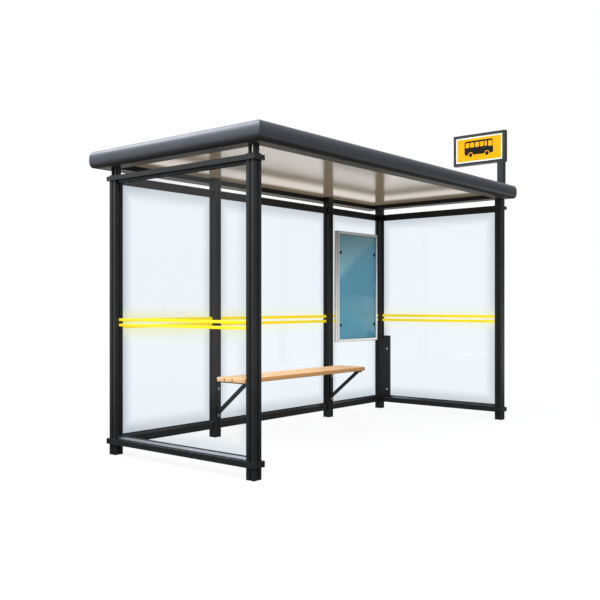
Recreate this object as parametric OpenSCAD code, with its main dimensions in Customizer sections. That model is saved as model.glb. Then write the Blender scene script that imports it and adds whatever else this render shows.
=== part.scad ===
// Bus shelter: open front, glazed back and ends, flat roof, bench,
// timetable case and route sign.
// The origin is on the ground, at the middle of the roof's outline.
// X runs along the shelter, the open front faces -Y, Z is up. Millimetres.

/* [Walls] */
// Length over the corner posts
shelter_l = 4000; // [3400:50:4800]
// Depth over the corner posts
shelter_d = 1640; // [1300:20:2000]
// Left rear bay, from post middle to post middle
bay_left = 1150; // [900:10:1300]
// Right rear bay, from post middle to post middle
bay_right = 1020; // [960:10:1200]
// Side of a square post
post_w = 80; // [70:2:100]
// Width of the glazing groove down each face of a post
groove_w = 12; // [11:1:16]
// Depth of that groove
groove_d = 14; // [12:1:20]
// Radius of a post's long edges
post_r = 4; // [2:1:8]
// Height of the top of the wall rails
wall_h = 2320; // [2100:10:2500]
// Height of the gap under the walls
sill_z = 80; // [50:5:120]
// Height of a lower wall rail
rail_low_h = 78; // [60:2:100]
// Height of an upper wall rail
rail_top_h = 66; // [50:2:90]
// Thickness of the wall rails
rail_t = 44; // [30:2:60]
// Thickness of the glass
glass_t = 10; // [8:1:10]
// Height of the lower clamp bars round the corner posts
clamp_low_h = 44; // [30:2:60]
// Height of the upper clamp bars
clamp_top_h = 36; // [30:2:60]
// How far a clamp stands out from its post
clamp_out = 18; // [10:1:26]

/* [Roof] */
// Height of the underside of the roof edge
roof_z = 2392; // [2360:4:2480]
// Height of the roof edge
edge_h = 140; // [110:5:180]
// How far the edge's rounded face swells out at mid height
edge_bulge = 22; // [12:1:22]
// Width of the flat underside of the roof edge
edge_w = 150; // [130:5:150]
// Overhang past the front posts, to the swell
over_front = 110; // [90:5:160]
// Overhang past the rear posts, to the swell
over_rear = 190; // [175:5:240]
// Overhang past the end posts, to the swell
over_side = 65; // [50:5:120]
// Step from the underside of the edge up to the roof panel
deck_step = 45; // [30:5:60]
// Thickness of the roof panel
deck_t = 40; // [16:2:50]
// Side of the roof bracket on top of a left corner post
neck_w = 56; // [48:2:64]
// Thickness of the bracket's plates
neck_t = 12; // [8:1:16]
// Width of the bracket's shorter plate
neck_tab = 26; // [20:1:30]

/* [Bench] */
// Height of the seat
seat_z = 574; // [450:2:620]
// Length of the slats
slat_l = 1890; // [1700:10:2000]
// Thickness of the slats
slat_t = 42; // [30:2:50]
// Width of the two rear slats
slat_w = 95; // [80:5:110]
// Width of the front slat
slat_front_w = 155; // [120:5:170]
// Gap between slats
slat_gap = 6; // [4:1:15]
// Side of the bracket's tubes
strut_w = 30; // [24:2:40]

/* [Timetable case] */
// Width of the case
case_w = 780; // [600:10:820]
// Height of the case
case_h = 1250; // [900:10:1300]
// Depth of the case
case_d = 50; // [40:2:60]
// Width of the case's frame
case_rim = 38; // [25:1:50]
// Height of the bottom of the case
case_z = 822; // [750:2:900]

/* [Route sign] */
// Length of the sign
sign_l = 618; // [500:2:700]
// Height of the sign
sign_h = 340; // [280:2:400]
// Thickness of the sign
sign_t = 55; // [40:1:60]
// Height of the bottom of the sign
sign_z = 2790; // [2700:10:2900]
// Side of the sign's post
sign_post_w = 70; // [50:2:80]

/* [Hidden] */
$fn = 48;
dark = "#2b2d31";
edge_grey = "#3a3c42";
clear_glass = "#dfe9f2";
bronze = "#b9ac9b";
oak = "#d79b64";

// Outline of the roof at its swell, which the origin is centred on
roof_l = shelter_l + 2 * over_side;
roof_d = shelter_d + over_front + over_rear;
// Middles of the posts
end_x = (shelter_l - post_w) / 2;
mid_left_x = -end_x + bay_left;
mid_right_x = end_x - bay_right;
front_y = -roof_d / 2 + over_front + post_w / 2;
rear_y = roof_d / 2 - over_rear - post_w / 2;
rear_posts_x = [-end_x, mid_left_x, mid_right_x, end_x];
// Height of the roof panel's underside
deck_z = roof_z + deck_step;
// Thickness of the cap on a roof bracket
neck_cap_t = 10;
// The glass runs into its grooves and rails by this much
glass_in = 8;
// The faces of the rear posts that look into the shelter
rear_face_y = rear_y - post_w / 2;
// Bench, from its rear edge forward; it stands clear of the posts by seat_gap
seat_gap = 60;
seat_offset = 10;
seat_rear_y = rear_face_y - seat_gap;
seat_d = slat_front_w + 2 * slat_w + 2 * slat_gap;
seat_mid_x = (mid_left_x + mid_right_x) / 2 - seat_offset;
bracket_plate_z = 180;
bracket_plate_t = 8;
// The plate stands out past its strut by this much on each side
bracket_plate_side = 6;
bracket_arm_h = 14;
// The arm stops short of the seat's front by this much
bracket_arm_short = 12;
// Where the strut's middle line meets the plate, above its foot, and the arm, behind its tip
strut_foot = 50;
strut_tip = 46;
// How far that line runs on into the plate and the arm
strut_sink = 4;
// Timetable case, fixed to the inner face of the rear glass
case_offset = 8;
case_x = (mid_right_x + end_x) / 2 - case_offset;
case_back_y = rear_y - glass_t / 2;
case_recess = 10;
// Cover over the cables that run down inside the rear right corner
cover_l = 120;
cover_t = 32;
cover_top_z = 875;
cover_x = end_x - post_w / 2 + 2;
// Radius of the clamps' corners
clamp_r = 6;
// The lower clamps stand this far over the bottom of their rails, the upper ones
// end this far under the top of theirs
clamp_low_rise = 10;
clamp_top_drop = 11;
clamp_low_z = sill_z + clamp_low_rise;
clamp_top_z = wall_h - clamp_top_drop - clamp_top_h;
// Sign, over the front right post
sign_x = end_x;
sign_post_y = front_y - 20;
sign_front_y = front_y - 74;
sign_post_r = 5;
sign_rim = 31;
sign_recess = 3;

// A bar between two corners, as [x, y, z] lowest and highest
module block(low, high) {
    translate(low) cube(high - low);
}

// A square bar of side w and height h, its long edges rounded by r
module round_bar(w, h, r) {
    linear_extrude(h) union() {
        square([w - 2 * r, w], center = true);
        square([w, w - 2 * r], center = true);
        for (sx = [-1, 1], sy = [-1, 1])
            translate([sx * (w / 2 - r), sy * (w / 2 - r)]) circle(r);
    }
}

// A grooved post, from the ground to the top of the wall rails
module post(x, y) {
    color(dark) translate([x, y, 0]) difference() {
        round_bar(post_w, wall_h, post_r);
        for (side = [0 : 3])
            rotate(90 * side)
                block([post_w / 2 - groove_d, -groove_w / 2, -1],
                      [post_w / 2 + 1, groove_w / 2, wall_h + 1]);
    }
}

// Two upright plates under a cap, from a post's top to the roof edge; the shorter
// plate stands at the outer side of the left end
module roof_bracket(x, y) {
    plate_h = roof_z - wall_h;
    half = neck_w / 2;
    color(dark) translate([x, y, wall_h]) union() {
        block([-half, -half, 0], [half, -half + neck_t, plate_h]);
        block([-half, half - neck_t, 0], [-half + neck_tab, half, plate_h]);
        block([-half, -half, plate_h - neck_cap_t], [half, half, plate_h]);
    }
}

// A stub as wide as the post, from its top to the underside of the roof
module roof_stub(x, y, top_z) {
    color(dark) translate([x, y, wall_h]) round_bar(post_w, top_z - wall_h, post_r);
}

// A block between the lines x = a and x = b, whichever is the lower
module slab(a, b, y_low, y_high, z_low, z_high) {
    block([min(a, b), y_low, z_low], [max(a, b), y_high, z_high]);
}

// The two collars of an end wall and the bar along its outer face, cut where
// the posts and the wall rails pass through; out is -1 at the left end, 1 at the right
module clamp(x, z, h, out) {
    top = h + 1;
    half = post_w / 2;
    color(dark) translate([x, 0, z]) difference() {
        union() {
            for (y = [front_y, rear_y])
                translate([0, y, 0]) round_bar(post_w + 2 * clamp_out, h, clamp_r);
            slab(out * rail_t / 2, out * (half + clamp_out), front_y, rear_y, 0, h);
        }
        for (y = [front_y, rear_y])
            slab(-half, half, y - half, y + half, -1, top);
        slab(-rail_t / 2, rail_t / 2, front_y, rear_y, -1, top);
        slab(0, -out * post_w, rear_y - rail_t / 2, rear_y + rail_t / 2, -1, top);
    }
}

// A wall rail from a to b on plan, between post faces, with its glazing slot
module rail(a, b, z, h, slot_top) {
    along_x = b[0] - a[0] > b[1] - a[1];
    t = along_x ? [0, rail_t / 2, 0] : [rail_t / 2, 0, 0];
    s = along_x ? [1, glass_t / 2 + 1, 0] : [glass_t / 2 + 1, 1, 0];
    slot_low = slot_top ? z + h - glass_in : z - 1;
    slot_high = slot_top ? z + h + 1 : z + glass_in;
    color(dark) difference() {
        block([a[0], a[1], z] - t, [b[0], b[1], z + h] + t);
        block([a[0], a[1], slot_low] - s, [b[0], b[1], slot_high] + s);
    }
}

// Stretch of an end wall (x fixed) or a rear bay (y fixed) between post faces
function end_wall(x) = [[x, front_y + post_w / 2], [x, rear_y - post_w / 2]];
function rear_bay(i) = [[rear_posts_x[i] + post_w / 2, rear_y],
                        [rear_posts_x[i + 1] - post_w / 2, rear_y]];

module lower_rail(wall) {
    rail(wall[0], wall[1], sill_z, rail_low_h, true);
}

module upper_rail(wall) {
    rail(wall[0], wall[1], wall_h - rail_top_h, rail_top_h, false);
}

// A pane, let into the posts and rails by glass_in
module pane(wall) {
    along_x = wall[1][0] > wall[0][0];
    grow = along_x ? [glass_in, glass_t / 2] : [glass_t / 2, glass_in];
    low_z = sill_z + rail_low_h - glass_in;
    high_z = wall_h - rail_top_h + glass_in;
    color(clear_glass, 0.35)
        block([wall[0][0] - grow[0], wall[0][1] - grow[1], low_z],
              [wall[1][0] + grow[0], wall[1][1] + grow[1], high_z]);
}

// Section of the roof edge: flat inside, an arc swelling out by edge_bulge;
// the swell's outermost point is at x = 0 and the inside at x = -edge_w - edge_bulge
module edge_section() {
    half = edge_h / 2;
    arc_r = (half * half + edge_bulge * edge_bulge) / (2 * edge_bulge);
    intersection() {
        translate([-edge_w - edge_bulge, 0]) square([edge_w + edge_bulge, edge_h]);
        translate([-arc_r, half]) circle(arc_r, $fn = 128);
    }
}

// One mitred side of the roof edge, length l over the swell, its outside at y = -d / 2
module roof_edge(l, d) {
    depth = edge_w + edge_bulge;
    color(edge_grey) translate([0, -d / 2, roof_z]) intersection() {
        translate([-l / 2, 0, 0]) rotate([90, 0, 90])
            linear_extrude(l) mirror([1, 0]) edge_section();
        linear_extrude(edge_h)
            polygon([[-l / 2, 0], [l / 2, 0], [l / 2 - depth, depth], [-l / 2 + depth, depth]]);
    }
}

// Flat roof panel inside the edge
module roof_panel() {
    inset = edge_w + edge_bulge;
    color(bronze) translate([0, 0, deck_z]) linear_extrude(deck_t)
        square([roof_l - 2 * inset, roof_d - 2 * inset], center = true);
}

// A bench slat, its rear edge at y, w deep
module slat(y, w) {
    color(oak) block([seat_mid_x - slat_l / 2, y - w, seat_z - slat_t],
                     [seat_mid_x + slat_l / 2, y, seat_z]);
}

// A wall plate, a level arm and a slanting strut
module bench_bracket(x) {
    arm_z = seat_z - slat_t - bracket_arm_h;
    arm_front_y = seat_rear_y - seat_d + bracket_arm_short;
    plate_y = rear_face_y - bracket_plate_t;
    half = strut_w / 2;
    plate_half = half + bracket_plate_side;
    foot = [plate_y + strut_sink, bracket_plate_z + strut_foot];
    run = [arm_front_y + strut_tip, arm_z + strut_sink] - foot;
    color(dark) translate([x, 0, 0]) union() {
        block([-plate_half, plate_y, bracket_plate_z], [plate_half, rear_face_y, arm_z]);
        block([-half, arm_front_y, arm_z], [half, rear_face_y, arm_z + bracket_arm_h]);
        intersection() {
            translate([0, foot[0], foot[1]])
                rotate([atan2(run[1], run[0]), 0, 0])
                    block([-half, -2 * strut_w, -half], [half, norm(run) + 2 * strut_w, half]);
            block([-strut_w, arm_front_y, bracket_plate_z], [strut_w, plate_y + 1, arm_z + 1]);
        }
    }
}

// Shallow case with a frame round a recess
module timetable_case() {
    color("silver") translate([case_x, case_back_y - case_d, case_z]) difference() {
        block([-case_w / 2, 0, 0], [case_w / 2, case_d, case_h]);
        block([-case_w / 2 + case_rim, -1, case_rim],
              [case_w / 2 - case_rim, case_recess, case_h - case_rim]);
    }
}

// Cover in the corner between the rear right post and the end glass
module cable_cover() {
    color(dark) block([cover_x, rear_face_y - cover_l, sill_z + rail_low_h],
                      [cover_x + cover_t, rear_face_y, cover_top_z]);
}

// Post of the sign, standing on the roof edge
module sign_post() {
    color(dark) translate([sign_x, sign_post_y, roof_z + edge_h])
        round_bar(sign_post_w, sign_z - roof_z - edge_h, sign_post_r);
}

// Sign box, with a shallow recess in each face for its panel
module route_sign() {
    color(dark) translate([sign_x, sign_front_y, sign_z]) difference() {
        block([-sign_t / 2, 0, 0], [sign_t / 2, sign_l, sign_h]);
        for (side = [-1, 1])
            block([side * sign_t / 2 - sign_recess, sign_rim, sign_rim],
                  [side * sign_t / 2 + sign_recess, sign_l - sign_rim, sign_h - sign_rim]);
    }
}

post(-end_x, front_y);  // post_front_left
post(-end_x, rear_y);  // post_rear_left
post(mid_left_x, rear_y);  // post_mid_left
post(mid_right_x, rear_y);  // post_mid_right
post(end_x, rear_y);  // post_rear_right
post(end_x, front_y);  // post_front_right
roof_bracket(-end_x, front_y);  // roof_bracket_front_left
roof_bracket(-end_x, rear_y);  // roof_bracket_rear_left
roof_stub(mid_left_x, rear_y, deck_z);  // roof_stub_mid_left
roof_stub(mid_right_x, rear_y, deck_z);  // roof_stub_mid_right
roof_stub(end_x, rear_y, roof_z);  // roof_stub_rear_right
roof_stub(end_x, front_y, roof_z);  // roof_stub_front_right
clamp(-end_x, clamp_low_z, clamp_low_h, -1);  // clamp_left_lower
clamp(-end_x, clamp_top_z, clamp_top_h, -1);  // clamp_left_upper
clamp(end_x, clamp_low_z, clamp_low_h, 1);  // clamp_right_lower
clamp(end_x, clamp_top_z, clamp_top_h, 1);  // clamp_right_upper
lower_rail(end_wall(-end_x));  // rail_left_lower
upper_rail(end_wall(-end_x));  // rail_left_upper
lower_rail(end_wall(end_x));  // rail_right_lower
upper_rail(end_wall(end_x));  // rail_right_upper
lower_rail(rear_bay(0));  // rail_rear_1_lower
lower_rail(rear_bay(1));  // rail_rear_2_lower
lower_rail(rear_bay(2));  // rail_rear_3_lower
upper_rail(rear_bay(0));  // rail_rear_1_upper
upper_rail(rear_bay(1));  // rail_rear_2_upper
upper_rail(rear_bay(2));  // rail_rear_3_upper
pane(end_wall(-end_x));  // glass_left
pane(end_wall(end_x));  // glass_right
pane(rear_bay(0));  // glass_rear_1
pane(rear_bay(1));  // glass_rear_2
pane(rear_bay(2));  // glass_rear_3
roof_edge(roof_l, roof_d);  // roof_edge_front
rotate(180) roof_edge(roof_l, roof_d);  // roof_edge_rear
rotate(-90) roof_edge(roof_d, roof_l);  // roof_edge_left
rotate(90) roof_edge(roof_d, roof_l);  // roof_edge_right
roof_panel();
slat(seat_rear_y - 2 * (slat_w + slat_gap), slat_front_w);  // bench_slat_front
slat(seat_rear_y - slat_w - slat_gap, slat_w);  // bench_slat_middle
slat(seat_rear_y, slat_w);  // bench_slat_rear
bench_bracket(mid_left_x);  // bench_bracket_left
bench_bracket(mid_right_x);  // bench_bracket_right
timetable_case();
cable_cover();
sign_post();
route_sign();
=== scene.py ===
"""Looks of a bus shelter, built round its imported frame. Metres, Z up, open front towards -Y."""

import math

import bmesh
import bpy
import mathutils
import numpy as np
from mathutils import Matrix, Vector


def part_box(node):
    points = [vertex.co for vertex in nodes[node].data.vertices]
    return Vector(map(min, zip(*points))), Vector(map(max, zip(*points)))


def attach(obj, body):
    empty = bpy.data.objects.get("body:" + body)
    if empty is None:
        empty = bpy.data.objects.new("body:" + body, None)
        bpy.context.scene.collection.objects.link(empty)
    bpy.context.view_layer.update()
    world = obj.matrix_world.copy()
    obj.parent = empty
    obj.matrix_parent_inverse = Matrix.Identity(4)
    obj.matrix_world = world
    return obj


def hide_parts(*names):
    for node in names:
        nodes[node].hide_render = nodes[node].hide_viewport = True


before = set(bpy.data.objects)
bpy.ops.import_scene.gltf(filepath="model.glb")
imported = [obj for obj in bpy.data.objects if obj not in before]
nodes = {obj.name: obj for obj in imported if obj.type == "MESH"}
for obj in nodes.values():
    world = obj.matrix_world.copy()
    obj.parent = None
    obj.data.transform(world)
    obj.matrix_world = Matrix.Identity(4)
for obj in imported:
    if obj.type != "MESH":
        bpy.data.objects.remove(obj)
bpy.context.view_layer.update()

MM = 0.001
X, Y, Z = 0, 1, 2
APART = 0.0002                       # keeps two faces from lying in each other
PANES = [name.removeprefix("glass_") for name in nodes if name.startswith("glass_")]

BAND_HEIGHTS = (1.115, 1.062)        # middles of a pane's two marking bands
BAND_HALF = 0.0145                   # half the width of a band
LEFT_BAND_HEIGHTS = (1.120, 1.077)   # the left pane's bands are narrower and closer
LEFT_BAND_HALF = 0.0115
BORDER_SHADE = 0.17                  # how far in from its edges a pane is shaded
BORDER_TINTS = ("#e6eaed", "#f8fcff")        # a pane at its border and in its middle
LEFT_BORDER_TINTS = ("#f1f4f6", "#ffffff")
PAINTED_DAYLIGHT_GLOW = 0.17              # strength of the roof panel's painted glow, which stands in for daylight through it
RING_SPACING = 0.007                 # growth rings of the oak
LIP = 0.014                          # height of the roof edge's black lower lip, painted shade under its rolled face
TOP_BLACK_STRIP = 0.004                     # height of the black strip along its top
SILL_FALL = 0.020                    # how far a lower rail slopes down from the glass


# ---------------------------------------------------------------- camera, stage and light

def place_camera():
    """A level camera at a standing person's chest, left of the open front."""
    data = bpy.data.cameras.new("camera")
    data.lens = 48.51
    data.sensor_width = 36
    data.shift_y = 0.00715
    data.clip_start = 0.1
    data.clip_end = 200
    camera = bpy.data.objects.new("camera", data)
    camera.location = (-6.18449, -4.73087, 1.24813)
    camera.rotation_euler = (math.radians(90), 0, math.radians(-50.48))
    bpy.context.scene.collection.objects.link(camera)
    bpy.context.scene.camera = camera


def srgb(code):
    """Linear red, green, blue and alpha of an sRGB hex colour."""
    value = np.array([int(code[i:i + 2], 16) for i in (1, 3, 5)]) / 255
    linear = np.where(value <= 0.04045, value / 12.92, ((value + 0.055) / 1.055) ** 2.4)
    return (*linear.tolist(), 1.0)


def put(tree, kind, inputs=None, stops=(), **settings):
    """Adds a node with its settings; an input that is a socket is linked, any other is a value.
    The stops of a colour ramp are (position, sRGB hex)."""
    made = tree.nodes.new(kind)
    for name, value in settings.items():
        setattr(made, name, value)
    for key, value in (inputs or {}).items():
        if isinstance(value, bpy.types.NodeSocket):
            tree.links.new(value, made.inputs[key])
        else:
            made.inputs[key].default_value = value
    if stops:
        band = made.color_ramp.elements
        while len(band) < len(stops):
            band.new(0.5)
        for element, (position, colour) in zip(band, stops):
            element.position = position
            element.color = srgb(colour)
    return made


def light_the_studio():
    """A white room, brighter overhead than at the horizon, and brighter behind the left end
    than in front of the right one, with three softboxes. The camera sees plain white."""
    bright_side = (-0.72, 0.69, 0.0)
    dim, bright = 0.22, 0.72
    at_horizon, overhead = 0.9, 3.2
    world = bpy.data.worlds.new("studio")
    bpy.context.scene.world = world
    world.use_nodes = True
    tree = world.node_tree
    tree.nodes.clear()
    where = put(tree, "ShaderNodeTexCoord").outputs["Generated"]
    side = put(tree, "ShaderNodeVectorMath", {0: where, 1: bright_side}, operation="DOT_PRODUCT")
    glow = put(tree, "ShaderNodeMapRange", {
        "Value": side.outputs["Value"], "From Min": -1.0, "From Max": 0.9,
        "To Min": dim, "To Max": bright}, interpolation_type="SMOOTHSTEP")
    height = put(tree, "ShaderNodeSeparateXYZ", {0: where})
    rise = put(tree, "ShaderNodeMapRange", {
        "Value": height.outputs["Z"], "From Min": 0.03, "From Max": 0.55,
        "To Min": at_horizon, "To Max": overhead}, interpolation_type="SMOOTHSTEP")
    strength = put(tree, "ShaderNodeMath", {0: glow.outputs[0], 1: rise.outputs[0]},
                   operation="MULTIPLY")
    room = put(tree, "ShaderNodeBackground", {
        "Color": srgb("#fafcff"), "Strength": strength.outputs[0]})
    seen = put(tree, "ShaderNodeBackground", {"Color": srgb("#ffffff"), "Strength": 1.0})
    path = put(tree, "ShaderNodeLightPath")
    mixed = put(tree, "ShaderNodeMixShader", {
        0: path.outputs["Is Camera Ray"], 1: room.outputs[0], 2: seen.outputs[0]})
    put(tree, "ShaderNodeOutputWorld", {"Surface": mixed.outputs[0]})

    hang_softbox("top_softbox", (-3.0, -1.5, 7.5), 6.0, 450)
    hang_softbox("front_softbox", (-7.0, -8.0, 6.0), 4.0, 1200, mirrored=False)
    hang_softbox("left_softbox", (-4.4, 5.0, 7.0), 4.0, 210)
    bpy.context.scene.view_settings.view_transform = "Standard"


def hang_softbox(name, spot, size, watts, mirrored=True):
    """A square softbox at spot, turned towards the bench. One that isn't mirrored lights the
    shelter without showing as a streak in its glossy coats."""
    bench = mathutils.Vector((0, 0.4, 0.8))
    data = bpy.data.lights.new(name, "AREA")
    data.size = size
    data.energy = watts
    lamp = bpy.data.objects.new(name, data)
    lamp.location = spot
    lamp.visible_glossy = mirrored
    lamp.rotation_euler = (mathutils.Vector(spot) - bench).to_track_quat("Z", "Y").to_euler()
    bpy.context.scene.collection.objects.link(lamp)


def bare(name):
    """A material whose tree is still empty; returns both."""
    mat = bpy.data.materials.new(name)
    mat.use_nodes = True
    mat.node_tree.nodes.clear()
    return mat, mat.node_tree


def lay_floor():
    """A round pale floor that fades into the white of the room away from the shelter. It
    looks white, but throws back the little light that paving would: least near the shelter,
    and less in front and on the left than behind and on the right."""
    radius, sides = 60.0, 96
    fade_start, fade_end, fade_least = 3.0, 9.0, 0.88
    bounce_start, bounce_end, bounce_least = 4.0, 8.0, 0.24
    bright_side = (0.77, 0.64, 0.0)
    turn = np.linspace(0, 2 * math.pi, sides, endpoint=False)
    rim = np.stack([radius * np.cos(turn), radius * np.sin(turn), 0 * turn], -1)
    mesh = bpy.data.meshes.new("floor")
    mesh.from_pydata(rim.tolist(), [], [list(range(sides))])
    floor = bpy.data.objects.new("floor", mesh)
    bpy.context.scene.collection.objects.link(floor)
    mat, tree = bare("pale_studio_floor")
    where = put(tree, "ShaderNodeTexCoord").outputs["Object"]
    away = put(tree, "ShaderNodeVectorMath", {0: where}, operation="LENGTH")
    fade = put(tree, "ShaderNodeMapRange", {
        "Value": away.outputs["Value"], "From Min": fade_start, "From Max": fade_end,
        "To Min": fade_least}, interpolation_type="SMOOTHSTEP")
    paint = put(tree, "ShaderNodeBsdfDiffuse", {"Color": srgb("#c8c8c8")})
    white = put(tree, "ShaderNodeEmission", {"Color": srgb("#ffffff"), "Strength": 1.0})
    seen = put(tree, "ShaderNodeMixShader", {
        0: fade.outputs[0], 1: paint.outputs[0], 2: white.outputs[0]})
    bounce = put(tree, "ShaderNodeMapRange", {
        "Value": away.outputs["Value"], "From Min": bounce_start, "From Max": bounce_end,
        "To Min": bounce_least, "To Max": 1.0}, interpolation_type="SMOOTHSTEP")
    heading = put(tree, "ShaderNodeVectorMath", {0: where}, operation="NORMALIZE")
    side = put(tree, "ShaderNodeVectorMath", {0: heading.outputs[0], 1: bright_side},
               operation="DOT_PRODUCT")
    lean = put(tree, "ShaderNodeMapRange", {
        "Value": side.outputs["Value"], "From Min": -0.2, "From Max": 0.8,
        "To Min": 0.6, "To Max": 1.15})
    thrown = put(tree, "ShaderNodeMath", {0: bounce.outputs[0], 1: lean.outputs[0]},
                 operation="MULTIPLY")
    dim = put(tree, "ShaderNodeEmission", {
        "Color": srgb("#ffffff"), "Strength": thrown.outputs[0]})
    path = put(tree, "ShaderNodeLightPath")
    both = put(tree, "ShaderNodeMixShader", {
        0: path.outputs["Is Camera Ray"], 1: dim.outputs[0], 2: seen.outputs[0]})
    put(tree, "ShaderNodeOutputMaterial", {"Surface": both.outputs[0]})
    mesh.materials.append(mat)


# ---------------------------------------------------------------- what finishes are made of

def finish(name, colour, roughness, metallic=0.0, ior=1.5):
    """A material with one Principled shader; returns the material, its tree and the shader."""
    mat = bpy.data.materials.new(name)
    mat.use_nodes = True
    tree = mat.node_tree
    shader = tree.nodes["Principled BSDF"]
    shader.inputs["Base Color"].default_value = srgb(colour)
    shader.inputs["Roughness"].default_value = roughness
    shader.inputs["Metallic"].default_value = metallic
    if not metallic:
        shader.inputs["IOR"].default_value = ior
    return mat, tree, shader


def grain(tree, size_mm, detail=2.0, stretch=(1, 1, 1), seed=0.0):
    """Noise whose blotches are size_mm across, in the piece's own coordinates."""
    where = put(tree, "ShaderNodeTexCoord").outputs["Object"]
    laid = put(tree, "ShaderNodeMapping", {
        "Vector": where, "Location": (seed, seed, seed), "Scale": stretch})
    return put(tree, "ShaderNodeTexNoise", {
        "Vector": laid.outputs[0], "Scale": 1 / (size_mm * MM), "Detail": detail,
        "Roughness": 0.55}).outputs["Fac"]


def mottle(tree, size_mm, darker, lighter, spread=(0.3, 0.7)):
    """A colour that wanders between two, in blotches size_mm across."""
    return put(tree, "ShaderNodeValToRGB", {"Fac": grain(tree, size_mm)},
               stops=[(spread[0], darker), (spread[1], lighter)]).outputs["Color"]


def wander(tree, shader, noise, low, high, spread=(0.3, 0.7)):
    """Roughness that goes from low to high as noise goes over its spread."""
    laid = put(tree, "ShaderNodeMapRange", {
        "Value": noise, "From Min": spread[0], "From Max": spread[1],
        "To Min": low, "To Max": high})
    tree.links.new(laid.outputs[0], shader.inputs["Roughness"])


def share(tree, value, start, end):
    """How far value has come from start to end, held between 0 and 1."""
    return put(tree, "ShaderNodeMapRange", {
        "Value": value, "From Min": start, "From Max": end}).outputs[0]


def own_place(tree):
    """The piece's own X, Y and Z."""
    return put(tree, "ShaderNodeSeparateXYZ", {
        0: put(tree, "ShaderNodeTexCoord").outputs["Object"]}).outputs


def facing(tree):
    """X, Y and Z of the direction that the surface faces."""
    return put(tree, "ShaderNodeSeparateXYZ", {
        0: put(tree, "ShaderNodeNewGeometry").outputs["Normal"]}).outputs


def roughen(tree, shader, height, depth_mm, strength):
    """Bump of depth_mm from a height between 0 and 1."""
    bump = put(tree, "ShaderNodeBump", {
        "Height": height, "Distance": depth_mm * MM, "Strength": strength})
    tree.links.new(bump.outputs[0], shader.inputs["Normal"])


def see_through(tree, colour, ior, roughness):
    """A clear sheet of this colour. It mirrors by its angle on the side that the light comes
    from, and not on its far side, since light isn't bent on its way through the sheet."""
    through = put(tree, "ShaderNodeBsdfTransparent", {"Color": colour})
    mirror = put(tree, "ShaderNodeBsdfGlossy", {"Color": srgb("#ffffff"), "Roughness": roughness})
    edge_on = put(tree, "ShaderNodeFresnel", {"IOR": ior})
    back = put(tree, "ShaderNodeNewGeometry").outputs["Backfacing"]
    front = put(tree, "ShaderNodeMath", {0: 1.0, 1: back}, operation="SUBTRACT")
    gloss = put(tree, "ShaderNodeMath", {0: edge_on.outputs[0], 1: front.outputs[0]},
                operation="MULTIPLY")
    both = put(tree, "ShaderNodeMixShader", {
        0: gloss.outputs[0], 1: through.outputs[0], 2: mirror.outputs[0]})
    put(tree, "ShaderNodeOutputMaterial", {"Surface": both.outputs[0]})


# ---------------------------------------------------------------- finishes

def satin_powder_coat():
    """Polyester powder coat on extruded aluminium: near black, an even satin sheen that
    wanders a little, and a very faint orange peel, drawn at 5 mm, twice its size."""
    mat, tree, shader = finish("satin_black_powder_coat", "#151618", 0.32)
    tint = mottle(tree, 90, "#111213", "#18191b", spread=(0.25, 0.75))
    tree.links.new(tint, shader.inputs["Base Color"])
    wander(tree, shader, grain(tree, 35, 3, seed=4.0), 0.25, 0.38, spread=(0.25, 0.75))
    roughen(tree, shader, grain(tree, 5, 1), 0.06, 0.12)
    shader.inputs["Specular IOR Level"].default_value = 0.4
    return mat


def metallic_grey_coat():
    """Metallic powder coat on the rolled roof edge: blue grey, softer and lighter than the
    posts, with a fine sparkle of flake, and darker low down, painted shade where the edge
    faces the ground. The slopes of the lower rails, far below the roof, have the coat without
    the painted shade. The flake is drawn at 3 mm, far above its size."""
    rail_to_roof = (0.5, 0.1)        # the painted low shade starts between these depths below the roof edge
    mat, tree, shader = finish("metallic_grey_roof_coat", "#54575d", 0.3, metallic=0.85)
    tint = mottle(tree, 3, "#4e5157", "#5b5e64")
    low, high = box_of("roof_edge_front")
    where = own_place(tree)
    up = share(tree, where["Z"], low[Z], high[Z])
    # painted shade: the lower part of the roof edge, which faces the ground, is darkened
    low_shade_ramp = put(tree, "ShaderNodeValToRGB", {"Fac": up}, stops=[
        (0.0, "#646464"), (0.14, "#9c9c9c"), (0.30, "#f4f4f4"), (0.8, "#ffffff")])
    painted_shade = put(tree, "ShaderNodeMix", {"Factor": 1.0, 6: tint, 7: low_shade_ramp.outputs["Color"]},
                 data_type="RGBA", blend_type="MULTIPLY")
    at_roof = share(tree, where["Z"], low[Z] - rail_to_roof[0], low[Z] - rail_to_roof[1])
    shade_on_roof_only = put(tree, "ShaderNodeMix", {"Factor": at_roof, 6: tint, 7: painted_shade.outputs[2]},
               data_type="RGBA")
    tree.links.new(shade_on_roof_only.outputs[2], shader.inputs["Base Color"])
    wander(tree, shader, grain(tree, 160, seed=2.0), 0.26, 0.34)
    roughen(tree, shader, grain(tree, 7, 1, seed=1.0), 0.08, 0.1)
    return mat


def bronze_panel_finish():
    """Bronze acrylic sheet: a warm beige body under a polished skin, so it mirrors the posts
    and rails below, and a painted glow by emission stands in for daylight through it. Its top is
    dulled by weather."""
    polished, weathered = 0.13, 0.5
    mat, tree, shader = finish("bronze_acrylic_panel", "#b39c7b", polished, metallic=0.3)
    body = mottle(tree, 420, "#ad9777", "#b9a280")
    top = share(tree, facing(tree)["Z"], 0.4, 0.6)
    dust = put(tree, "ShaderNodeMix", {"Factor": top, 6: body, 7: srgb("#8d877c")},
               data_type="RGBA")
    tree.links.new(dust.outputs[2], shader.inputs["Base Color"])
    wander(tree, shader, top, polished, weathered, spread=(0.0, 1.0))
    # painted glow: emission in place of daylight coming through the sheet
    shader.inputs["Emission Color"].default_value = srgb("#cbb799")
    shader.inputs["Emission Strength"].default_value = PAINTED_DAYLIGHT_GLOW
    return mat


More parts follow.
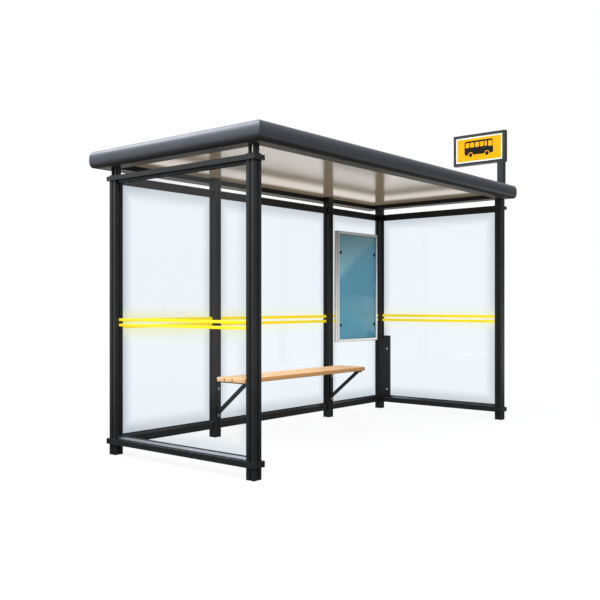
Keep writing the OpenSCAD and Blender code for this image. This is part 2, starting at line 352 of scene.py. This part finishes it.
def soffit_finish():
    """The same sheet folded under the roof edge, painted darker as shade: it backs onto metal, so
    no daylight comes through it.
    """
    mat, tree, shader = finish("bronze_soffit", "#6b5f50", 0.5, ior=1.4)
    tree.links.new(mottle(tree, 300, "#655a4b", "#716554"), shader.inputs["Base Color"])
    shader.inputs["Specular IOR Level"].default_value = 0.3
    return mat


def pane_finish(pane):
    """Toughened glass: a faint blue of its own, greyer where the gaskets and frame shade
    its border, and a painted yellow glow round the marking bands."""
    corner_blend = 0.05
    glow_start, glow_end, glow_most = 0.02, 0.17, 0.6
    low, high = box_of("glass_" + pane)
    middle, half = (low + high) / 2, (high - low) / 2
    along = X if half[X] > half[Y] else Y
    mat, tree = bare("toughened_glass_" + pane)
    where = own_place(tree)

    def inside(axis):
        """Distance from the nearer edge of the pane along one axis."""
        off = put(tree, "ShaderNodeMath", {0: where[axis], 1: middle[axis]}, operation="SUBTRACT")
        size = put(tree, "ShaderNodeMath", {0: off.outputs[0]}, operation="ABSOLUTE")
        return put(tree, "ShaderNodeMath", {0: half[axis], 1: size.outputs[0]},
                   operation="SUBTRACT").outputs[0]

    depth = put(tree, "ShaderNodeMath", {0: inside(along), 1: inside(Z), 2: corner_blend},
                operation="SMOOTH_MIN")
    clear = put(tree, "ShaderNodeMapRange", {
        "Value": depth.outputs[0], "From Min": 0.0, "From Max": BORDER_SHADE},
        interpolation_type="SMOOTHERSTEP")
    border, centre = LEFT_BORDER_TINTS if pane == "left" else BORDER_TINTS
    tint = put(tree, "ShaderNodeValToRGB", {"Fac": clear.outputs[0]},
               stops=[(0.0, border), (1.0, centre)])
    # painted glow: the glass turns pale yellow near the marking bands, as if lit by the film
    band = put(tree, "ShaderNodeMath", {0: where[Z], 1: sum(BAND_HEIGHTS) / 2},
               operation="SUBTRACT")
    near = put(tree, "ShaderNodeMath", {0: band.outputs[0]}, operation="ABSOLUTE")
    glow = put(tree, "ShaderNodeMapRange", {
        "Value": near.outputs[0], "From Min": glow_start, "From Max": glow_end,
        "To Min": glow_most, "To Max": 0.0}, interpolation_type="SMOOTHSTEP")
    warm = put(tree, "ShaderNodeMix", {
        "Factor": glow.outputs[0], 6: tint.outputs["Color"], 7: srgb("#fbfbe8")},
        data_type="RGBA")
    see_through(tree, warm.outputs[2], 1.4, 0.0)
    return mat


def oiled_oak(seed):
    """Light oak, planed and oiled: growth rings cut lengthwise into long flames, fine pores
    along the grain, and curved rings on the ends. One pith line runs below each board. Its
    long sides are darker than its top, painted shade that marks the gaps between the boards."""
    pith = (0.0, -0.1 - 0.13 * seed, -0.42 - 0.01 * seed)
    drawn_out = 0.06                 # the rings change this slowly along a board
    waver = 0.035
    mat, tree, shader = finish("oiled_light_oak_%d" % seed, "#d9a468", 0.5)
    where = put(tree, "ShaderNodeTexCoord").outputs["Object"]
    laid = put(tree, "ShaderNodeMapping", {
        "Vector": where, "Location": pith, "Scale": (drawn_out, 1, 1)})
    bend = put(tree, "ShaderNodeTexNoise", {
        "Vector": laid.outputs[0], "Scale": 9.0, "Detail": 2.0})
    pull = put(tree, "ShaderNodeVectorMath", {
        0: bend.outputs["Color"], 1: (0.0, waver, waver)}, operation="MULTIPLY")
    bent = put(tree, "ShaderNodeVectorMath", {0: laid.outputs[0], 1: pull.outputs[0]},
               operation="ADD")
    ring = put(tree, "ShaderNodeTexWave", {
        "Vector": bent.outputs[0], "Scale": 1 / (RING_SPACING * 3.2),
        "Distortion": 1.2, "Detail": 2.0},
        wave_type="RINGS", rings_direction="X", wave_profile="SAW")
    pores = grain(tree, 2.2, stretch=(0.025, 1, 1), seed=seed)
    body = put(tree, "ShaderNodeValToRGB", {"Fac": ring.outputs["Fac"]}, stops=[
        (0.0, "#f6cf9f"), (0.7, "#efc08a"), (1.0, "#dfa76c")])
    dark = put(tree, "ShaderNodeValToRGB", {"Fac": pores}, stops=[
        (0.34, "#cf9f6c"), (0.5, "#ffffff")])
    wood = put(tree, "ShaderNodeMix", {
        "Factor": 0.55, 6: body.outputs["Color"], 7: dark.outputs["Color"]},
        data_type="RGBA", blend_type="MULTIPLY")
    # painted shade: faces that turn sideways, the long sides and eased edges, go darker
    sideways = put(tree, "ShaderNodeMath", {0: facing(tree)["Y"]}, operation="ABSOLUTE")
    painted_shade = put(tree, "ShaderNodeMix", {
        "Factor": share(tree, sideways.outputs[0], 0.3, 0.8),
        6: wood.outputs[2], 7: srgb("#b98752")}, data_type="RGBA")
    tree.links.new(painted_shade.outputs[2], shader.inputs["Base Color"])
    wander(tree, shader, pores, 0.62, 0.45, spread=(0.3, 0.6))
    roughen(tree, shader, pores, 0.25, 0.5)
    return mat


def anodised_aluminium():
    """Satin anodised aluminium: a pale silver, brushed lengthwise, that stays soft. Its low
    metallic value keeps it pale."""
    mat, tree, shader = finish("satin_anodised_aluminium", "#f4f6f7", 0.4, metallic=0.12)
    brushed = grain(tree, 3, stretch=(1, 1, 0.03))
    tint = put(tree, "ShaderNodeValToRGB", {"Fac": brushed}, stops=[
        (0.3, "#f0f2f4"), (0.7, "#fafbfc")])
    tree.links.new(tint.outputs["Color"], shader.inputs["Base Color"])
    wander(tree, shader, brushed, 0.28, 0.42)
    return mat


def zinc_plated_steel():
    """Zinc plated bolt heads: bright, slightly mottled."""
    mat, tree, shader = finish("zinc_plated_steel", "#c9cccf", 0.28, metallic=1.0)
    wander(tree, shader, grain(tree, 4), 0.2, 0.4)
    return mat


def rubber_gasket():
    """EPDM rubber: black and matt, with a slight bloom."""
    mat, tree, shader = finish("epdm_rubber", "#141414", 0.75)
    tree.links.new(mottle(tree, 25, "#101010", "#1c1c1c"), shader.inputs["Base Color"])
    return mat


def marking_film():
    """Fluorescent vinyl film: flat, very bright lemon yellow, with a painted glow by emission
    that keeps it bright in shade.
    """
    mat, tree, shader = finish("fluorescent_yellow_film", "#b8a206", 0.5)
    tree.links.new(mottle(tree, 60, "#b29c06", "#bea80a"), shader.inputs["Base Color"])
    # painted glow: emission, though the film is no lamp
    shader.inputs["Emission Color"].default_value = srgb("#ffe600")
    shader.inputs["Emission Strength"].default_value = 0.5
    return mat


def backing_sheet():
    """A blue paper sheet with nothing printed on it, paler towards the top, painted light against
    the roof's shade, and palest above a slanting line, a painted reflection of the cover."""
    slant = -0.42                    # the line climbs by 0.42 of the height from left to right
    line_start, line_end = 0.52, 0.60
    low, high = box_of("timetable_case")
    mat, tree, shader = finish("blue_backing_paper", "#64a8c4", 0.55)
    where = own_place(tree)
    across = share(tree, where["X"], low[X], high[X])
    up = share(tree, where["Z"], low[Z], high[Z])
    slope = put(tree, "ShaderNodeMath", {0: across, 1: slant}, operation="MULTIPLY")
    score = put(tree, "ShaderNodeMath", {0: up, 1: slope.outputs[0]}, operation="ADD")
    pale = share(tree, score.outputs[0], line_start, line_end)
    paper = mottle(tree, 220, "#5ca2be", "#67abc6")
    # painted light: paler towards the top, against the roof's shade
    painted_top_light = put(tree, "ShaderNodeMix", {
        "Factor": share(tree, up, 0.4, 0.9), 6: paper, 7: srgb("#84d2f0")}, data_type="RGBA")
    # painted reflection of the cover above the slanting line
    tint = put(tree, "ShaderNodeMix", {
        "Factor": pale, 6: painted_top_light.outputs[2], 7: srgb("#a6dcf0")}, data_type="RGBA")
    tree.links.new(tint.outputs[2], shader.inputs["Base Color"])
    return mat


def clear_cover():
    """Clear polycarbonate in front of the sheet: a thin gloss and no colour."""
    mat, tree = bare("clear_polycarbonate")
    see_through(tree, srgb("#fbfdfd"), 1.35, 0.03)
    return mat


def sign_ink(name, colour, darker):
    """Screen ink on the sign's plates: even and matt, with a slight unevenness."""
    mat, tree, shader = finish(name, colour, 0.5)
    tree.links.new(mottle(tree, 120, darker, colour), shader.inputs["Base Color"])
    shader.inputs["Specular IOR Level"].default_value = 0.08
    return mat


# ---------------------------------------------------------------- shapes

def box_of(node):
    """Lowest and highest corner of a CAD node, as arrays."""
    return tuple(np.array(corner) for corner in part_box(node))


def thin_axis(low, high):
    """The axis that a pane is thin along, X or Y."""
    return X if high[X] - low[X] < high[Y] - low[Y] else Y


def skin(rows, columns, wrap_rows=False):
    """Four-cornered faces over a grid of rows x columns points. Each row closes on itself,
    and with wrap_rows the last row joins the first."""
    i, j = np.meshgrid(np.arange(rows if wrap_rows else rows - 1), np.arange(columns),
                       indexing="ij")
    i, j = i.ravel(), j.ravel()
    on, over = (i + 1) % rows, (j + 1) % columns
    return np.stack([i * columns + j, i * columns + over,
                     on * columns + over, on * columns + j], -1).tolist()


def end_caps(rows, columns):
    """The flat faces that close the first and the last row of such a grid."""
    last = rows * columns
    return [list(range(columns)), list(range(last - columns, last))]


def piece(name, parts, finishes, stands_for=(), bevel=0.0):
    """One object from parts, each (points, faces, finish number or one for each face), that
    rides on the frame."""
    sharp_above = math.radians(30)
    points, faces, paints, start = [], [], [], 0
    for spots, skins, paint in parts:
        points.append(np.asarray(spots, float).reshape(-1, 3))
        faces += [[start + k for k in face] for face in skins]
        paints += [paint] * len(skins) if isinstance(paint, int) else list(paint)
        start += len(points[-1])
    mesh = bpy.data.meshes.new(name)
    mesh.from_pydata(np.concatenate(points).tolist(), [], faces)
    mesh.polygons.foreach_set("material_index", paints)
    turned = bmesh.new()
    turned.from_mesh(mesh)
    bmesh.ops.recalc_face_normals(turned, faces=turned.faces)
    turned.to_mesh(mesh)
    turned.free()
    mesh.shade_smooth()
    mesh.set_sharp_from_angle(angle=sharp_above)
    for mat in finishes:
        mesh.materials.append(mat)
    made = bpy.data.objects.new(name, mesh)
    bpy.context.scene.collection.objects.link(made)
    if bevel:
        soften(made, bevel)
    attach(made, "root")
    if stands_for:
        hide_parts(*stands_for)
    return made


def soften(made, width):
    """Rounds an object's sharp edges by width."""
    cut = made.modifiers.new("eased_edges", "BEVEL")
    cut.width = width
    cut.segments = 2
    cut.limit_method = "ANGLE"
    cut.angle_limit = math.radians(35)
    cut.harden_normals = True


def corner_turns(steps):
    """Angles once round, steps to each quarter, and the side, 1 or -1, that each one's corner
    of a rectangle lies on along its first and second axis."""
    quarter = np.linspace(0, math.pi / 2, steps + 1)
    turn = np.concatenate([quarter + k * math.pi / 2 for k in range(4)])
    return turn, np.repeat([1, -1, -1, 1], steps + 1), np.repeat([1, 1, -1, -1], steps + 1)


def eased_bar(low, high, radius, steps=4):
    """A bar from low to high along its longest side, every edge rounded: rounded rectangles
    carried along, the first and last few drawn in on a quarter circle."""
    low, high = np.array(low, float), np.array(high, float)
    order = np.argsort(-(high - low), kind="stable")
    middle, half = (low + high) / 2, (high - low) / 2
    quarter = np.linspace(0, math.pi / 2, steps + 1)
    inset = radius * (1 - np.sin(quarter))
    along = half[order[0]] - radius * (1 - np.cos(quarter))
    along = np.concatenate([-along, along[::-1]])
    inset = np.concatenate([inset, inset[::-1]])
    turn, side_u, side_v = corner_turns(steps)
    reach = radius - inset[:, None]
    points = np.zeros((len(along), len(turn), 3))
    points[..., order[0]] = along[:, None]
    points[..., order[1]] = side_u * (half[order[1]] - radius) + reach * np.cos(turn)
    points[..., order[2]] = side_v * (half[order[2]] - radius) + reach * np.sin(turn)
    faces = skin(len(along), len(turn)) + end_caps(len(along), len(turn))
    return (points + middle).reshape(-1, 3), faces


def lathe(profile, centre, direction, sign, count=24):
    """A turned shape: profile of (radius, height) carried round a line through centre. The
    heights run along the axis direction, the way that sign, 1 or -1, says."""
    profile = np.array(profile, float)
    turn = np.linspace(0, 2 * math.pi, count, endpoint=False)
    u, v = [k for k in (X, Y, Z) if k != direction]
    points = np.zeros((len(profile), count, 3))
    points[..., u] = profile[:, :1] * np.cos(turn)
    points[..., v] = profile[:, :1] * np.sin(turn)
    points[..., direction] = sign * profile[:, 1:]
    faces = skin(len(profile), count) + end_caps(len(profile), count)
    return (points + np.array(centre)).reshape(-1, 3), faces


def ring_frame(profile, low, high, normal, face, sign):
    """A mitred frame: profile of (distance inwards, height above face) carried round a
    rectangle from low to high in the plane at face, across axis normal."""
    profile = np.array(profile, float)
    u, v = [k for k in (X, Y, Z) if k != normal]
    corner_u, corner_v = np.array([-1, 1, 1, -1]), np.array([-1, -1, 1, 1])
    middle, half = (low + high) / 2, (high - low) / 2
    points = np.zeros((4, len(profile), 3))
    points[..., u] = middle[u] + corner_u[:, None] * (half[u] - profile[:, 0])
    points[..., v] = middle[v] + corner_v[:, None] * (half[v] - profile[:, 0])
    points[..., normal] = face + sign * profile[:, 1]
    return points.reshape(-1, 3), skin(4, len(profile), wrap_rows=True)


def outline_mesh(loops, thickness):
    """Flat shape inside loops, holes where loops lie inside each other, thickness deep."""
    curve = bpy.data.curves.new("outline", "CURVE")
    curve.dimensions = "2D"
    curve.fill_mode = "BOTH"
    curve.extrude = thickness / 2
    for loop in loops:
        flat = np.pad(np.asarray(loop, float), ((0, 0), (0, 2)))
        spline = curve.splines.new("POLY")
        spline.points.add(len(loop) - 1)
        spline.points.foreach_set("co", flat.ravel())
        spline.use_cyclic_u = True
    holder = bpy.data.objects.new("outline", curve)
    bpy.context.scene.collection.objects.link(holder)
    bpy.context.view_layer.update()
    made = bpy.data.meshes.new_from_object(holder)
    bpy.data.objects.remove(holder)
    points = np.array([v.co for v in made.vertices], float)
    faces = [list(p.vertices) for p in made.polygons]
    bpy.data.meshes.remove(made)
    return points, faces


def rounded_loop(low, high, radius, steps=6, lean=0.0):
    """A rectangle with round corners; lean moves its right side back by lean per height."""
    low, high = np.array(low, float), np.array(high, float)
    turn, side_u, side_v = corner_turns(steps)
    middle, half = (low + high) / 2, (high - low) / 2
    u = middle[0] + side_u * (half[0] - radius) + radius * np.cos(turn)
    v = middle[1] + side_v * (half[1] - radius) + radius * np.sin(turn)
    along = (u - low[0]) / (high[0] - low[0])
    return np.stack([u - lean * along * (v - low[1]), v], -1)


def arc_loop(centre, radius, turn):
    """Points at these angles on a circle."""
    return np.stack([centre[0] + radius * np.cos(turn), centre[1] + radius * np.sin(turn)], -1)


# ---------------------------------------------------------------- the pieces

def dress_nodes():
    """Gives every carried-over CAD node its finish."""
    for name, node in nodes.items():
        if name.startswith("glass_"):
            paint = pane_finish(name.removeprefix("glass_"))
        elif name == "roof_panel":
            paint = panel
        else:
            paint = black
        for spot in node.material_slots:
            spot.material = paint
        if not node.material_slots:
            node.data.materials.append(paint)


def roof_edges():
    """The rolled roof edge, one mitred length to a side. Its face is a superellipse: at angle
    t it lies swell * (1 - cos(t) ^ p) in and half * (1 + sin(t) ^ p) up, where p is 2 / 2.6.
    The inner face has a small step at its top. A drip groove runs under the edge. Its lower
    lip, groove and inner face are black, painted shade where the edge faces down and inwards,
    a thin strip along its top is black too, and the rest of its underside is bronze sheet."""
    swell, power = 0.034, 2 / 2.6
    groove_near, groove_far, groove_deep = 0.044, 0.052, 0.005
    step_wide, step_deep = 0.012, 0.004
    low, high = box_of("roof_edge_front")
    left_low, left_high = box_of("roof_edge_left")
    length, depth = high[X] - low[X], left_high[Y] - left_low[Y]
    inside = high[Y] - low[Y]
    half = (high[Z] - low[Z]) / 2
    top = 2 * half
    t = np.linspace(-math.pi / 2, math.pi / 2, 33)
    face_in = swell * (1 - np.abs(np.cos(t)) ** power)
    face_up = half * (1 + np.sign(np.sin(t)) * np.abs(np.sin(t)) ** power)
    behind = np.array([
        [inside - step_wide, top], [inside - step_wide, top - step_deep],
        [inside, top - step_deep], [inside, 0.0],
        [groove_far, 0.0], [groove_far, groove_deep],
        [groove_near, groove_deep], [groove_near, 0.0]])
    profile = np.concatenate([np.stack([face_in, face_up], -1), behind])
    lining = len(t) + 3              # the first side of the profile that lies underneath
    stations = np.linspace(0, 1, 13)
    rows, columns = len(stations), len(profile)

    side = np.arange((rows - 1) * columns) % columns
    up = face_up[np.minimum(side, len(t) - 1)]
    # black: the lower lip, the groove and the inner face as painted shade, and the strip along
    # the top
    dark = (side >= lining - 1) | (side < len(t)) & ((up < LIP) | (up > top - TOP_BLACK_STRIP))
    paints = np.where(side == lining, 1, np.where(dark, 2, 0)).tolist() + [0, 0]
    faces = skin(rows, columns) + end_caps(rows, columns)
    for turns, name in enumerate(("front", "right", "rear", "left")):
        run, back = (length, depth) if turns % 2 == 0 else (depth, length)
        start = -run / 2 + profile[:, 0]
        points = np.zeros((rows, columns, 3))
        points[..., X] = start * (1 - 2 * stations[:, None])
        points[..., Y] = -back / 2 + profile[:, 0]
        points[..., Z] = low[Z] + profile[:, 1]
        for _ in range(turns):
            points = np.stack([-points[..., Y], points[..., X], points[..., Z]], -1)
        piece("rolled_edge_" + name, [(points, faces, paints)], [grey, soffit, rubber],
              ("roof_edge_" + name,), bevel=0.0012)


def marking_bands():
    """Two strips of yellow film across each pane, on its front or left face."""
    thick, short = 0.0012, 0.009
    for pane in PANES:
        low, high = box_of("glass_" + pane)
        across = thin_axis(low, high)
        run = 1 - across
        parts = []
        left = pane == "left"
        half = LEFT_BAND_HALF if left else BAND_HALF
        for z in LEFT_BAND_HEIGHTS if left else BAND_HEIGHTS:
            start, end = low.copy(), high.copy()
            end[across] = low[across] - APART
            start[across] = low[across] - thick
            start[run] += short
            end[run] -= short
            start[Z], end[Z] = z - half, z + half
            parts.append((*eased_bar(start, end, 0.0004, 2), 0))
        piece("bands_" + pane, parts, [yellow])


def gaskets():
    """A rubber bead round both faces of each pane, where it meets posts and rails."""
    bead = [(0.0, 0.0), (0.0, 0.004), (0.001, 0.0045), (0.003, 0.004), (0.004, 0.002),
            (0.0045, 0.0)]
    hidden, sunk = 0.008, 0.0001
    for pane in PANES:
        low, high = box_of("glass_" + pane)
        across = thin_axis(low, high)
        inner = low + hidden, high - hidden
        parts = [(*ring_frame(bead, *inner, across, low[across] + sunk, -1), 0),
                 (*ring_frame(bead, *inner, across, high[across] - sunk, 1), 0)]
        piece("gasket_" + pane, parts, [rubber])


def lower_rails():
    """The lower rails: a section with a glazing slot, whose top slopes down by SILL_FALL from
    the glass to each face, carried from post to post. The slopes are a paler metallic grey, a
    painted highlight along the rail's top."""
    slopes = (1, 5)                  # the sides of the section that are its two slopes
    for pane in PANES:
        glass_low, glass_high = box_of("glass_" + pane)
        low, high = box_of("rail_%s_lower" % pane)
        across = thin_axis(glass_low, glass_high)
        run = 1 - across
        tall, half = high[Z] - low[Z], (high[across] - low[across]) / 2
        slot = (glass_high[across] - glass_low[across]) / 2 + APART
        side = np.array([[half, 0], [half, tall - SILL_FALL], [slot, tall],
                         [slot, glass_low[Z] - low[Z] - APART]])
        section = np.concatenate([side * (-1, 1), side[::-1]])
        points = np.zeros((2, len(section), 3))
        points[..., across] = (low[across] + high[across]) / 2 + section[:, 0]
        points[..., Z] = low[Z] + section[:, 1]
        points[..., run] = np.array([[low[run]], [high[run]]])
        faces = skin(2, len(section)) + end_caps(2, len(section))
        # the slopes get the paler grey coat, a painted highlight along the rail's top
        paints = [1 if k in slopes else 0 for k in range(len(faces))]
        piece("rail_%s_sloped" % pane, [(points, faces, paints)], [black, grey],
              ("rail_%s_lower" % pane,), bevel=0.0012)


def bench_boards():
    """Three boards with eased edges, each cut from its own tree."""
    for seed, name in enumerate(("front", "middle", "rear")):
        low, high = box_of("bench_slat_" + name)
        piece("oak_board_" + name, [(*eased_bar(low, high, 0.008), 0)], [oiled_oak(seed)],
              ("bench_slat_" + name,))


def dome_bolt(centre, direction, radius):
    """A washer under a domed head with a socket in it, which points to the low end of the
    axis direction."""
    profile = [(1.45, 0), (1.45, 0.16), (1.0, 0.17), (0.97, 0.35), (0.82, 0.62), (0.58, 0.80),
               (0.42, 0.84), (0.40, 0.50), (0.02, 0.48)]
    profile = [(wide * radius, tall * radius) for wide, tall in profile]
    return (*lathe(profile, centre, direction, -1), 0)


def bolts():
    """Bolts through the bench's wall plates and the cable cover."""
    bench_bolt, bench_heights, plate = 0.011, (0.455, 0.207), 0.008
    cover_bolt, cover_heights, cover_inset = 0.009, (0.717, 0.236), 0.03
    parts = []
    for side in ("left", "right"):
        low, high = box_of("bench_bracket_" + side)
        for z in bench_heights:
            spot = ((low[X] + high[X]) / 2, high[Y] - plate, z)
            parts.append(dome_bolt(spot, Y, bench_bolt))
    piece("bench_bolts", parts, [zinc])
    low, high = box_of("cable_cover")
    parts = [dome_bolt((low[X], low[Y] + cover_inset, z), X, cover_bolt) for z in cover_heights]
    piece("cover_bolts", parts, [zinc])


def timetable():
    """The case: a mitred aluminium frame, black along its outer edges, painted shade of its sides
    and of the gap against the glass, and black round its opening, on a shallow tray, a blue
    sheet, a clear cover and four dark studs that hold it."""
    rim = 0.036                      # width of the frame
    tray_back, tray_front, tray_lap = 0.001, 0.012, 0.003
    sheet_deep, sheet_thick, sheet_lap = 0.014, 0.002, 0.001
    cover_ahead, cover_thick = 0.006, 0.004
    stud, stud_in, stud_up, stud_down = 0.012, 0.02, 0.19, 0.24
    low, high = box_of("timetable_case")
    deep = high[Y] - low[Y]
    section = [(0.0, 0.0), (0.0, 0.010), (0.0, deep - 0.006), (0.0015, deep - 0.002),
               (0.005, deep), (0.014, deep), (0.018, deep - 0.002), (0.028, deep - 0.003),
               (rim - 0.005, deep - 0.005), (rim, deep - 0.009), (rim, 0.0)]
    # 1 is black: painted shade on the outer side's back strip and outer chamfer, and the inner
    #             bevel and side round the opening
    section_paints = [1, 0, 1, 0, 0, 0, 0, 0, 1, 1, 0]
    frame_part = (*ring_frame(section, low, high, Y, high[Y], -1), section_paints * 4)
    tray = (low + (rim - tray_lap, deep - tray_front, rim - tray_lap),
            high - (rim - tray_lap, tray_back, rim - tray_lap))
    piece("timetable_frame", [frame_part, (*eased_bar(*tray, 0.001, 2), 0)], [silver, black],
          ("timetable_case",))
    sheet_low = low + (rim - sheet_lap, sheet_deep, rim - sheet_lap)
    sheet_high = high - (rim - sheet_lap, 0, rim - sheet_lap)
    sheet_high[Y] = sheet_low[Y] + sheet_thick
    piece("timetable_sheet", [(*eased_bar(sheet_low, sheet_high, 0.0005, 2), 0)],
          [backing_sheet()])
    cover_low, cover_high = sheet_low.copy(), sheet_high.copy()
    cover_low[Y] -= cover_ahead
    cover_high[Y] = cover_low[Y] + cover_thick
    piece("timetable_cover", [(*eased_bar(cover_low, cover_high, 0.0005, 2), 0)],
          [clear_cover()])
    studs = []
    for x in (low[X] + rim + stud_in, high[X] - rim - stud_in):
        for z in (low[Z] + stud_up, high[Z] - stud_down):
            studs.append(dome_bolt((x, cover_low[Y], z), Y, stud))
    piece("timetable_studs", studs, [rubber])


def bus_symbol():
    """A plain bus seen from its side, heading right, 1 wide: body with wheel arches cut out
    of its lower edge, a row of windows, and two wheels."""
    hubs = ((0.225, 0.075), (0.77, 0.075))
    arch, wheel = 0.082, 0.060
    sill, pillar, roofline = 0.30, 0.032, 0.448
    steps = 6
    body = rounded_loop((0.02, 0.075), (0.98, 0.50), 0.055, steps, lean=0.06)
    before_last = 3 * (steps + 1)    # the body's points before its last, lower right, corner
    arcs = [arc_loop(hub, arch, np.linspace(math.pi, 0, 17)) for hub in hubs]
    outline = np.concatenate([body[:before_last], *arcs, body[before_last:]])
    edges = (0.055, 0.215, 0.375, 0.535, 0.695, 0.80)
    windows = [rounded_loop((left, sill), (right - pillar, roofline), 0.014, 3)
               for left, right in zip(edges[:-1], edges[1:])]
    windows.append(rounded_loop((0.812, 0.28), (0.950, roofline), 0.02, 3, lean=0.10))
    turn = np.linspace(0, 2 * math.pi, 32, endpoint=False)
    return [outline, *windows], [arc_loop(hub, wheel, turn) for hub in hubs]


def route_sign():
    """White and amber plates with a bus on each face of the sign box."""
    rim, border = 0.031, 0.015
    recess, white_thick, amber_thick, plate_edge = 0.0029, 0.0012, 0.0006, 0.0002
    bus_wide, bus_middle, bus_lift = 0.362, (0.5, 0.26), 0.01
    ink_level, ink_thick = 0.0020, 0.0004
    low, high = box_of("route_sign")
    white = sign_ink("white_sign_ink", "#c2c1ba", "#bab9b2")
    amber = sign_ink("amber_sign_ink", "#c48c00", "#be8600")
    ink = sign_ink("black_sign_ink", "#131313", "#0e0e0e")
    plates = ((rim, white_thick, 0.0), (rim + border, amber_thick, white_thick))
    for label, sign in (("left", -1), ("right", 1)):
        face = low[X] if sign < 0 else high[X]
        floor = face - sign * recess
        parts = []
        for number, (inset, thick, start) in enumerate(plates):
            plate_low, plate_high = low + inset, high - inset
            near, far = floor + sign * start, floor + sign * (start + thick)
            plate_low[X], plate_high[X] = min(near, far), max(near, far)
            parts.append((*eased_bar(plate_low, plate_high, plate_edge, 1), number))
        body, wheels = bus_symbol()
        for loops in (body, *[[wheel] for wheel in wheels]):
            points, faces = outline_mesh([(loop - bus_middle) * bus_wide for loop in loops],
                                         ink_thick)
            spot = np.zeros_like(points)
            spot[:, X] = floor + sign * ink_level + points[:, 2] * sign
            spot[:, Y] = (low[Y] + high[Y]) / 2 + sign * points[:, 0]
            spot[:, Z] = (low[Z] + high[Z]) / 2 + points[:, 1] + bus_lift
            parts.append((spot, faces, 2))
        piece("sign_plate_" + label, parts, [white, amber, ink])


place_camera()
light_the_studio()
lay_floor()

black = satin_powder_coat()
grey = metallic_grey_coat()
panel = bronze_panel_finish()
soffit = soffit_finish()
silver = anodised_aluminium()
zinc = zinc_plated_steel()
rubber = rubber_gasket()
yellow = marking_film()

dress_nodes()
roof_edges()
marking_bands()
gaskets()
lower_rails()
bench_boards()
bolts()
timetable()
route_sign()
